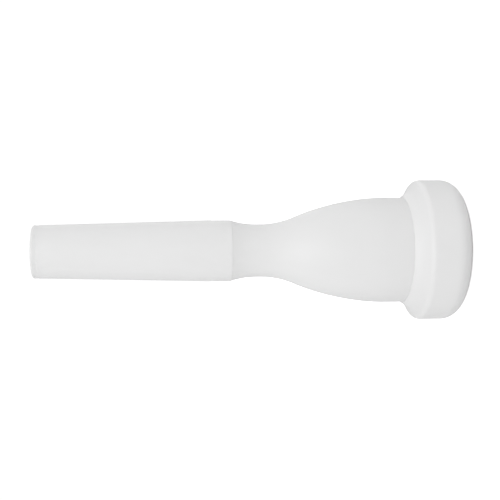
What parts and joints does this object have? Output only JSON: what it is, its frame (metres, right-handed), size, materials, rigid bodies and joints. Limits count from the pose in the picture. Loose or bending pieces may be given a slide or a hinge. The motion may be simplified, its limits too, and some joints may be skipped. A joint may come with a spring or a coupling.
{
  "type": "brass instrument mouthpiece",
  "caption": "Trumpet-size brass mouthpiece in white plastic that unscrews into a rounded rim, a cup with a waisted stem, and a tapered shank.",
  "frame": {"origin": "centre of the plane that the rim rests on, where it would touch the player's lips", "axes": "+Z along the bore from the rim to the tip of the shank; the part is round about Z, so X and Y are free"},
  "size_m": [0.0282, 0.0282, 0.0847],
  "materials": {
    "rim_plastic": "smooth satin moulded white",
    "cup_plastic": "smooth satin moulded white",
    "shank_plastic": "smooth satin moulded white",
    "ring_rubber": "soft black nitrile"
  },
  "bodies": {
    "rim": {"rim": "rim_plastic"},
    "rim_ring": {"rim_o_ring": "ring_rubber"},
    "cup": {"cup": "cup_plastic"},
    "shank_ring": {"shank_o_ring": "ring_rubber"},
    "shank": {"shank": "shank_plastic"}
  },
  "joints": [
    {"name": "cup_rise", "type": "slide", "parent": "rim", "child": "rim_ring", "axis": [0, 0, 1], "range_m": [0, 0.005]},
    {"name": "cup_turn", "type": "hinge", "parent": "rim_ring", "child": "cup", "pos_m": [0, 0, 0.01], "axis": [0, 0, 1], "range_deg": [0, 1800]},
    {"name": "shank_rise", "type": "slide", "parent": "cup", "child": "shank_ring", "axis": [0, 0, 1], "range_m": [0, 0.00375]},
    {"name": "shank_turn", "type": "hinge", "parent": "shank_ring", "child": "shank", "pos_m": [0, 0, 0.045], "axis": [0, 0, 1], "range_deg": [0, 1800]}
  ],
  "couplings": [
    {"joint": "cup_turn", "follows": "cup_rise", "rad_per_m": 6283.2},
    {"joint": "shank_turn", "follows": "shank_rise", "rad_per_m": 8377.6}
  ]
}
